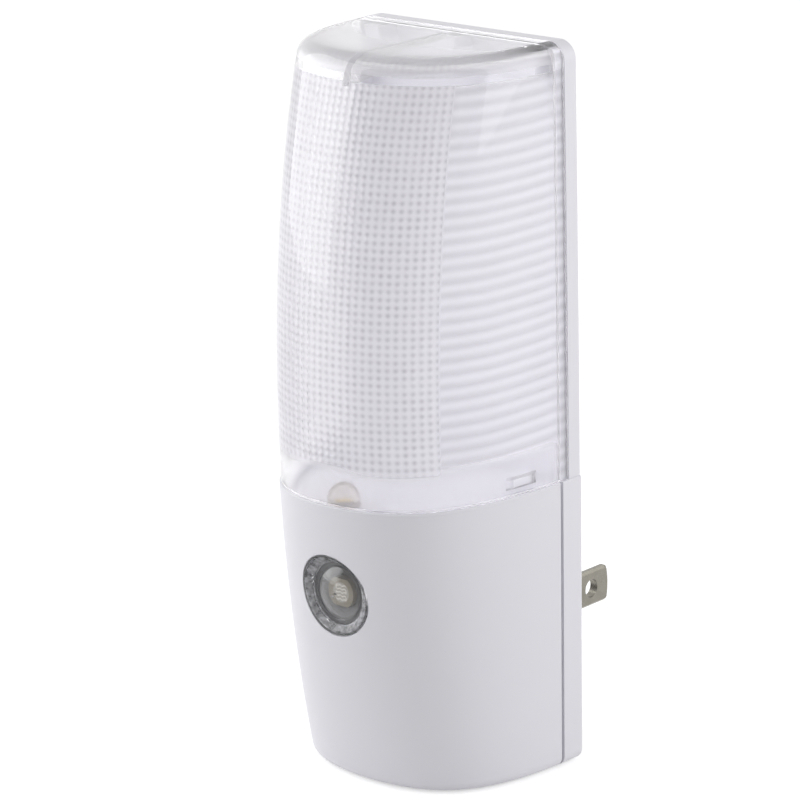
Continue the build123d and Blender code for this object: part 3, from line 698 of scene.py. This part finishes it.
def addPiece(name, points, faces, material, body, crease=35.0, marks=None):
    # A mesh of points in millimetres, with those that fall together joined, and smooth except
    # where its faces meet more sharply than the crease. Marks are triples kept at the points.
    mesh = bpy.data.meshes.new(name)
    mesh.from_pydata(np.asarray(points) * mm, [], faces)
    for markName, values in (marks or {}).items():
        mesh.attributes.new(markName, "FLOAT_VECTOR", "POINT").data.foreach_set("vector", values.ravel())
    joined = bmesh.new()
    joined.from_mesh(mesh)
    bmesh.ops.remove_doubles(joined, verts=joined.verts, dist=0.001 * mm)
    joined.to_mesh(mesh)
    joined.free()
    mesh.materials.append(material)
    mesh.shade_smooth()
    mesh.set_sharp_from_angle(angle=math.radians(crease))
    piece = bpy.data.objects.new(name, mesh)
    bpy.context.scene.collection.objects.link(piece)
    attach(piece, body)
    return piece


def gridFaces(index):
    # Quads between the neighbouring rows and columns of a grid of point numbers
    corners = (index[:-1, :-1], index[:-1, 1:], index[1:, 1:], index[1:, :-1])
    return np.stack(corners, axis=-1).reshape(-1, 4).tolist()


def turned(profile, centre, turns=48):
    # Points and faces of a profile turned about the upright axis at the centre: each (radius,
    # height) goes round a circle of that radius, and the two end rings are closed
    radius, level = np.array(profile).T
    angle = np.linspace(0.0, 2 * np.pi, turns, endpoint=False)
    across = centre[0] + radius[:, None] * np.cos(angle)
    along = centre[1] + radius[:, None] * np.sin(angle)
    points = np.stack([across, along, np.broadcast_to(level[:, None], across.shape)], axis=-1)
    index = np.arange(across.size).reshape(across.shape)
    faces = gridFaces(np.hstack([index, index[:, :1]]))
    return points.reshape(-1, 3), faces + [index[0][::-1].tolist(), index[-1].tolist()]


# The form of the light: a Bezier curve goes round the front, and its width and depth follow
# one polynomial of the height above the foot. All in millimetres.
formSettings = {
    "backY": -9.0,
    "footZ": -20.5,
    "heights": (0.0, 24.5, 49.0, 84.5, 120.0),
    "widths": (44.5, 44.5, 44.5, 44.2, 43.6),
    "depths": (30.0, 35.1, 37.8, 37.3, 30.0),
    "shares": (
        (1.0, 0.0), (1.0, 0.684), (0.773, 1.4155), (0.0, 0.668),
        (-0.773, 1.4155), (-1.0, 0.684), (-1.0, 0.0),
    ),
}
widthCurve = np.polyfit(formSettings["heights"], formSettings["widths"], 4)
depthCurve = np.polyfit(formSettings["heights"], formSettings["depths"], 4)


def roundFront(turn):
    # The Bezier curve at turn, from 0 at the right back corner to 1 at the left one: each
    # control point times its binomial weight
    shares = np.array(formSettings["shares"])
    last = len(shares) - 1
    order = np.arange(last + 1)
    choose = np.array([math.comb(last, step) for step in order])
    turn = np.asarray(turn)[..., None]
    return (choose * turn**order * (1.0 - turn) ** (last - order)) @ shares


def formPoint(turn, height, inset):
    # The curve's shares of the width and depth at that height, each less the inset
    share = roundFront(turn)
    across = share[..., 0] * (np.polyval(widthCurve, height) / 2 - inset)
    along = formSettings["backY"] - share[..., 1] * (np.polyval(depthCurve, height) - inset)
    level = formSettings["footZ"] + height
    return np.stack(np.broadcast_arrays(across, along, level), axis=-1)


# Clear lens: a smooth outside, and inside it a field of small cushions round the front, level
# ribs on both sides and a thin rib under the top. Lengths in millimetres, heights above the foot.
lensSettings = {
    "lowHeight": 49.1,
    "topHeight": 120.0,
    "outerInset": 0.25,
    "innerInset": 1.8,
    "topRadius": 3.0,
    "innerRadius": 1.2,
    "backDepth": 3.45,
    "reliefDepth": 5.05,
    "reliefInset": 1.0,
    "fieldHalfWidth": 15.6,
    "fieldHeights": (55.8, 115.5),
    "cellsAcross": 29,
    "cellsUp": 48,
    "stepsPerCell": 6,
    "cellHeight": 0.10,
    "ribPitch": 2.08,
    "ribStart": 0.27,
    "ribHeight": 0.22,
    "ribTilt": 0.04,
    "ribTiltDepth": 20.0,
    "ribGap": 0.3,
    "lowFade": 2.5,
    "sideSteps": 19,
    "outerEvery": 3,
    "lowRows": 17,
    "highRows": 13,
    "bendRows": 7,
    "outerRows": 41,
    "outerBendRows": 9,
    # The sides of the thin rib under the top get painted shade: shade scales the painted rib bands, over
    # a reach of columns off its middle
    "topRib": {
        "halfWidth": 0.5, "backDrop": 0.9, "frontDrop": 3.4, "frontY": -40.2, "endY": -15.8,
        "shade": 1.8, "paintedShadeReach": (0.5, 1.4),
    },
    "pocket": {"depths": (10.7, 15.5), "heights": (50.0, 51.8)},  # for the housing's snap tongues
    # Milk is haze: of the top, its corner, its outer edge, the smooth bands, and the turns of the
    # front. Each reach of the edge is a distance behind it and a share of its milk.
    "topMilk": 0.06,
    "cornerMilk": 0.9,
    "cornerDrop": 3.2,
    "edgeMilk": 0.5,
    "edgeReaches": ((1.0, 0.7), (2.5, 0.3), (5.0, 0.0), (100.0, 0.0)),
    "bandMilk": 0.56,
    "turnMilk": 0.8,
    "turnReach": (3.0, 8.0),
    "middleHeight": 84.5,
    "edge": 0.03,
}


def lensStations(settings):
    # Columns round the lens. Each side has even steps of arc from its step at the back to the
    # field, and each cushion of the field has the same number of steps.
    fine = np.linspace(0.0, 1.0, 4001)
    line = formPoint(fine, np.full_like(fine, settings["middleHeight"]), settings["innerInset"])
    arc = np.concatenate([[0.0], np.cumsum(np.linalg.norm(np.diff(line, axis=0), axis=1))])
    edge = settings["edge"]
    depths = formSettings["backY"] - line[: fine.size // 2, 1]
    starts = [settings["backDepth"], settings["reliefDepth"] - edge, settings["reliefDepth"] + edge]
    backArcs = np.interp(starts, depths, arc[: fine.size // 2])
    fieldArc = np.interp(-settings["fieldHalfWidth"], -line[:, 0], arc)
    sideEnd = fieldArc - settings["ribGap"]
    side = np.concatenate([backArcs[:2], np.linspace(backArcs[2], sideEnd, settings["sideSteps"])])
    steps = settings["cellsAcross"] * settings["stepsPerCell"]
    half = np.concatenate([side, np.linspace(fieldArc, arc[-1] / 2, steps // 2 + 1)])
    turn = np.interp(half, arc, fine)
    depth = np.interp(half, arc[: fine.size // 2], depths)
    keep = np.clip((fieldArc - half) / (fieldArc - backArcs[2]), 0.0, 1.0) ** 2
    return {"turn": turn, "depth": depth, "keep": keep, "fieldArc": fieldArc, "arc": half}


def lensPoints(stations, height, inset):
    # Points of one half: near the back a column keeps its depth at every height, and round the
    # front it keeps its turn on the curve, with a share of each between
    fine = np.linspace(0.0, 0.5, 2001)
    reach = np.maximum.accumulate(roundFront(fine)[:, 1])
    depthHere = np.polyval(depthCurve, height) - inset
    atDepth = np.interp(stations["depth"] / depthHere, reach, fine)
    turn = stations["turn"] + stations["keep"] * (atDepth - stations["turn"])
    return formPoint(turn, height, inset)


def cushion(phase):
    # One at the middle of each unit of phase, falling as a parabola to nothing at its ends
    return 1.0 - (2.0 * (phase % 1.0) - 1.0) ** 2


def lensPhases(settings, stations, height, plain):
    # Cells across and rows up, counted from the corner of the field. Over the sides there is
    # minus one across, and ribs that climb evenly toward the back.
    low, high = settings["fieldHeights"]
    fieldLength = stations["arc"][-1] - stations["fieldArc"]
    across = (stations["arc"] - stations["fieldArc"]) / fieldLength * settings["cellsAcross"] / 2
    across = across + 0.0 * height
    depth = formSettings["backY"] - plain[..., 1]
    rise = settings["ribTilt"] * np.maximum(0.0, settings["ribTiltDepth"] - depth)
    cells = (height - low) / (high - low) * settings["cellsUp"]
    ribs = (height - low - rise) / settings["ribPitch"] - settings["ribStart"]
    inField = across > -1e-6
    return np.where(inField, across, -1.0), np.where(inField, cells, ribs)


def lensPattern(settings, stations, height, plain):
    # How far the pattern stands in from the plain inner wall: the product of two cushions over
    # the field, and cushion ribs over the sides
    low, high = settings["fieldHeights"]
    across, upward = lensPhases(settings, stations, height, plain)
    cells = settings["cellHeight"] * cushion(across) * cushion(upward)
    depth = formSettings["backY"] - plain[..., 1]
    gap = settings["ribGap"]
    fade = np.clip((stations["fieldArc"] - gap - stations["arc"]) / gap, 0.0, 1.0)
    fade = fade * np.clip((depth - settings["reliefDepth"]) / gap, 0.0, 1.0)
    ribs = settings["ribHeight"] * fade * cushion(upward)
    inside = (height >= low) & (height <= high)
    pattern = np.where(across >= 0.0, cells, ribs) * inside
    pocket = settings["pocket"]
    inPocket = (depth > pocket["depths"][0]) & (depth < pocket["depths"][1])
    inPocket &= (height > pocket["heights"][0]) & (height < pocket["heights"][1])
    return np.where(inPocket, settings["reliefInset"] - settings["innerInset"], pattern)


def lensMilk(settings, height, depth, across):
    # One over the pattern and the step behind it, less at the top and near the foot, and more on
    # the turn of the cushions, from the first distance off the middle to the second
    low, high = settings["fieldHeights"]
    gap = settings["ribGap"]
    top = np.where(height > high, settings["topMilk"], settings["bandMilk"])
    corner = settings["topHeight"] - settings["cornerDrop"]
    top = np.where(height > corner, settings["cornerMilk"], top)
    fade = np.minimum((height - low) / settings["lowFade"], (high - height) / gap)
    pattern = np.clip(1.0 + fade, 0.0, 1.0)
    start, end = settings["turnReach"]
    onTurn = np.clip((np.abs(across) - start) / (end - start), 0.0, 1.0)
    onTurn = onTurn * (np.abs(across) < settings["fieldHalfWidth"])
    pattern = pattern * (1.0 + settings["turnMilk"] * onTurn)
    inStep = depth < settings["reliefDepth"] + 2 * settings["edge"]
    return np.maximum(np.maximum(top, pattern), inStep)


def innerRows(settings):
    # Heights of the rows up the inner wall and round its top corner, and how far the quarter
    # circle of that corner brings each row in
    low, high = settings["fieldHeights"]
    radius = settings["innerRadius"]
    cornerStart = settings["topHeight"] - settings["innerInset"] - radius
    bend = np.linspace(0.0, np.pi / 2, settings["bendRows"])[1:]
    straight = np.concatenate([
        np.linspace(settings["lowHeight"], low, settings["lowRows"])[:-1],
        np.linspace(low, high, settings["cellsUp"] * settings["stepsPerCell"] + 1),
        np.linspace(high, cornerStart, settings["highRows"])[1:],
    ])
    height = np.concatenate([straight, cornerStart + radius * np.sin(bend)])
    inward = np.concatenate([0.0 * straight, radius * (1.0 - np.cos(bend))])
    return height[:, None], inward[:, None]


def topRibParts(settings, height, plain):
    # The rib hangs from the top in the middle, and its lower edge climbs evenly from its front,
    # at the wall, to its back end. Past is how far a row is above the rib's foot, and the columns
    # that get painted shade are those of its sides.
    rib = settings["topRib"]
    foot = settings["topHeight"] - settings["innerInset"] - rib["frontDrop"]
    slope = (rib["frontDrop"] - rib["backDrop"]) / (rib["endY"] - rib["frontY"])
    past = np.maximum(0.0, height - foot)
    offMiddle = np.abs(plain[..., 0]) / rib["halfWidth"]
    shadeStart, shadeEnd = rib["paintedShadeReach"]
    return {
        "foot": foot,
        "slope": slope,
        "past": past,
        "on": (offMiddle < 1.0) & (past > 0.0),
        "paintedShadeSides": (offMiddle > shadeStart) & (offMiddle < shadeEnd) & (past > 0.0),
    }


def innerMarks(settings, stations, height, plain, rib, along):
    # Phases across and up, and milk. The sides of the rib get painted shade: the marks of a valley
    # between ribs, times its shade, up the wall and under the top as far as its end.
    phases = lensPhases(settings, stations, height, plain)
    milk = lensMilk(settings, height, stations["depth"] + 0.0 * height, plain[..., 0])
    paintedDarkMarks = [0.0 * milk - settings["topRib"]["shade"], np.round(phases[1]), 0.0 * milk + 1.0]
    paintedDarkMarks = np.stack(paintedDarkMarks, axis=-1)
    marks = np.where(rib["paintedShadeSides"][..., None], paintedDarkMarks, np.stack([*phases, milk], axis=-1))
    underMarks = np.repeat(marks[-1:], len(along), axis=0)
    underMarks[..., 2] = settings["topMilk"]
    underRib = rib["paintedShadeSides"][-1] & (along < settings["topRib"]["endY"])
    underMarks = np.where(underRib[..., None], paintedDarkMarks[-1:], underMarks)
    return np.concatenate([marks, underMarks])


def innerLens(settings, stations):
    # Up the inner wall, round its top corner and back under the top
    wallHeight, inward = [part + 0.0 * stations["turn"] for part in innerRows(settings)]
    plainInset = settings["innerInset"] + inward
    plain = lensPoints(stations, wallHeight, plainInset)
    # Near the back the wall and the top are thinner by the relief
    ceiling = settings["topHeight"] - settings["innerInset"]
    high = settings["fieldHeights"][1]
    relief = settings["innerInset"] - settings["reliefInset"]
    inRelief = stations["depth"] < settings["reliefDepth"]
    rise = np.clip((wallHeight - high) / (ceiling - settings["innerRadius"] - high), 0.0, 1.0)
    inset = plainInset + lensPattern(settings, stations, wallHeight, plain) - relief * inRelief
    height = wallHeight + relief * inRelief * rise
    rib = topRibParts(settings, wallHeight, plain)
    inset = np.where(rib["on"], settings["innerInset"] + rib["past"], inset)
    height = np.where(rib["on"], rib["foot"] + rib["slope"] * rib["past"], height)
    wall = lensPoints(stations, height, inset)
    # Under the top, columns run straight back in steps: the rib's end, then the relief's
    endY = settings["topRib"]["endY"]
    reliefY = formSettings["backY"] - settings["reliefDepth"]
    edge = settings["edge"]
    stops = [endY - edge, endY + edge, reliefY - edge, reliefY + edge]
    stops = np.array(stops + [formSettings["backY"] - settings["backDepth"]])[:, None]
    along = np.maximum(wall[-1, :, 1], stops)
    ribEdge = ceiling - settings["topRib"]["backDrop"] - rib["slope"] * (endY - along)
    level = np.where(rib["on"][-1] & (along < endY), ribEdge, ceiling + relief * (along > reliefY))
    under = np.stack([wall[-1, :, 0] + 0.0 * along, along, formSettings["footZ"] + level], axis=-1)
    marks = innerMarks(settings, stations, wallHeight, plain, rib, along)
    return np.concatenate([wall, under]), marks


def outerLens(settings, stations):
    # Rows up the outer wall, over the top edge and back along the top. The edge's arc meets a
    # leaning wall, so its radius is the tangent of half the angle left, times the top radius.
    every = slice(None, None, settings["outerEvery"])
    coarse = {name: value[every] for name, value in stations.items() if name != "fieldArc"}
    top = settings["topHeight"]
    inset = settings["outerInset"]
    ends = lensPoints(coarse, np.array([[top - settings["topRadius"]], [top]]), inset)
    lean = np.arctan(np.linalg.norm(ends[0, :, :2] - ends[1, :, :2], axis=-1) / settings["topRadius"])
    radius = settings["topRadius"] * np.tan((np.pi / 2 - lean) / 2)
    share = np.linspace(0.0, 1.0, settings["outerRows"])[:-1, None]
    bend = np.linspace(0.0, np.pi / 2, settings["outerBendRows"])[:, None]
    low = settings["lowHeight"]
    height = np.concatenate([low + share * (top - radius - low), top - radius + radius * np.sin(bend)])
    edgeInset = np.concatenate([0.0 * share * radius, radius * (1.0 - np.cos(bend))])
    wall = lensPoints(coarse, height, inset + edgeInset)
    # Over the top, columns run straight back. Only the top edge is milky, and that fades behind it.
    reaches, shares = np.array(settings["edgeReaches"]).T
    over = np.repeat(wall[-1:], reaches.size, axis=0)
    backY = formSettings["backY"] - settings["backDepth"]
    over[..., 1] = np.minimum(over[..., 1] + reaches[:, None], backY)
    marks = np.zeros((wall.shape[0] + reaches.size, wall.shape[1], 3))
    marks[share.size :, :, 2] = settings["edgeMilk"] * np.concatenate([np.sin(bend), shares[:, None]])
    return np.concatenate([wall, over]), marks


def mirrored(half, side=-1.0):
    # The right half and its mirror image, which share the middle column
    other = half[:, -2::-1] * np.array([side, 1.0, 1.0])
    return np.concatenate([half, other], axis=1)


def rimLoop(index):
    # Point numbers up the first column, along the last row and down the last column
    return index[:, 0].tolist() + index[-1, 1:-1].tolist() + index[::-1, -1].tolist()


def makeLens(settings):
    stations = lensStations(settings)
    innerHalf, insideMarks = innerLens(settings, stations)
    outerHalf, outsideMarks = outerLens(settings, stations)
    inner = mirrored(innerHalf)
    outer = mirrored(outerHalf)
    innerIndex = np.arange(inner.shape[0] * inner.shape[1]).reshape(inner.shape[:2])
    outerIndex = np.arange(outer.shape[0] * outer.shape[1]).reshape(outer.shape[:2]) + innerIndex.size
    # Round the foot, each step of the outside is joined to the run of inner points beside it
    every = settings["outerEvery"]
    starts = np.arange(0, innerIndex.shape[1] - 1, every)
    runs = innerIndex[0, starts[:, None] + np.arange(every, -1, -1)]
    foot = np.column_stack([outerIndex[0, :-1], outerIndex[0, 1:], runs]).tolist()
    back = rimLoop(innerIndex) + rimLoop(outerIndex)[::-1]
    faces = gridFaces(innerIndex) + gridFaces(outerIndex[:, ::-1]) + foot + [back]
    points = np.concatenate([inner.reshape(-1, 3), outer.reshape(-1, 3)])
    marks = [mirrored(half, 1.0).reshape(-1, 3) for half in (insideMarks, outsideMarks)]
    marks = {"pattern": np.concatenate(marks)}
    return addPiece("lens_shell", points, faces, made["clearLens"], "light", marks=marks)


lens = makeLens(lensSettings)
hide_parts("lens_cover")
print("lens made")


# Lamp: a round clear body on a flange, with a cup of yellow phosphor on one post and a second
# post beside it. The profile is (radius, height) in millimetres.
lampSettings = {
    "centre": (0.0, -41.5),
    "baseZ": 24.1,
    "flangeZ": 25.1,
    "topZ": 31.2,
    "radius": 2.5,
    "flangeRadius": 2.9,
    "flangeEdge": 0.1,
    "domeRows": 14,
    "cupTurns": 24,
    "cup": ((0.55, 27.4), (1.05, 28.15), (1.05, 28.3), (0.93, 28.3), (0.62, 27.85)),
    "phosphor": ((0.5, 27.8), (0.7, 27.95), (0.92, 28.27), (0.5, 28.38), (0.06, 28.42)),
    "phosphorGrain": 0.12,
    "phosphorColours": ((0.86, 0.66, 0.16), (0.80, 0.55, 0.10)),
    "posts": {"lamp_anvil": (-1.15, 0.75), "lamp_post": (0.75, 1.45)},
    "postHeights": (24.3, 25.5, 26.8, 27.5),
    "postWaist": 0.25,
    "postHalfDepth": 0.25,
}


def lampBody(settings):
    # Flange, straight wall and a dome: the dome's points go round a quarter circle
    radius = settings["radius"]
    bend = np.linspace(0.0, np.pi / 2, settings["domeRows"])[:-1]
    dome = np.stack([radius * np.cos(bend), settings["topZ"] - radius + radius * np.sin(bend)], axis=-1)
    wide = settings["flangeRadius"]
    edge = settings["flangeEdge"]
    foot = [
        (wide - edge, settings["baseZ"]),
        (wide, settings["baseZ"] + edge),
        (wide, settings["flangeZ"] - edge),
        (wide - edge, settings["flangeZ"]),
        (radius, settings["flangeZ"]),
    ]
    points, faces = turned(foot + dome.tolist(), settings["centre"])
    return addPiece("lamp_body", points, faces, made["lampEpoxy"], "light")


def makePhosphor(settings):
    # A pale yellow grain
    material, tree, place = startMaterial("lampPhosphor")
    grain = noise(place, settings["phosphorGrain"], 3.0)
    shader = tree.node("ShaderNodeBsdfPrincipled", {}, {
        "Base Color": mixColours(grain, *settings["phosphorColours"]),
        "Roughness": 0.6 + 0.2 * grain,
    })
    endMaterial(tree, shader)
    return material


def lampPost(name, span, settings):
    # A flat post: a narrow stem that widens to a square head, carried through its thickness
    low, stemTop, headFoot, high = settings["postHeights"]
    left, right = span
    waist = settings["postWaist"] * (right - left)
    outline = np.array([
        (left + waist, low), (right - waist, low), (right - waist, stemTop), (right, headFoot),
        (right, high), (left, high), (left, headFoot), (left + waist, stemTop),
    ])
    half = settings["postHalfDepth"]
    x, y = settings["centre"]
    front = np.stack([x + outline[:, 0], np.full(8, y - half), outline[:, 1]], axis=-1)
    rear = front + np.array([0.0, 2 * half, 0.0])
    index = np.arange(16).reshape(2, 8)
    sides = gridFaces(np.hstack([index, index[:, :1]]))
    faces = [face[::-1] for face in sides] + [index[0].tolist(), index[1][::-1].tolist()]
    points = np.concatenate([front, rear])
    return addPiece(name, points, faces, made["tinnedWire"], "light")


lamp = lampBody(lampSettings)
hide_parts("led_lamp")
lampCentre = lampSettings["centre"]
cupTurns = lampSettings["cupTurns"]
cupPoints, cupFaces = turned(lampSettings["cup"], lampCentre, cupTurns)
addPiece("lamp_cup", cupPoints, cupFaces, made["tinnedWire"], "light")
glowPoints, glowFaces = turned(lampSettings["phosphor"], lampCentre, cupTurns)
addPiece("lamp_phosphor", glowPoints, glowFaces, makePhosphor(lampSettings), "light")
for postName, postSpan in lampSettings["posts"].items():
    lampPost(postName, postSpan, lampSettings)
print("lamp made")
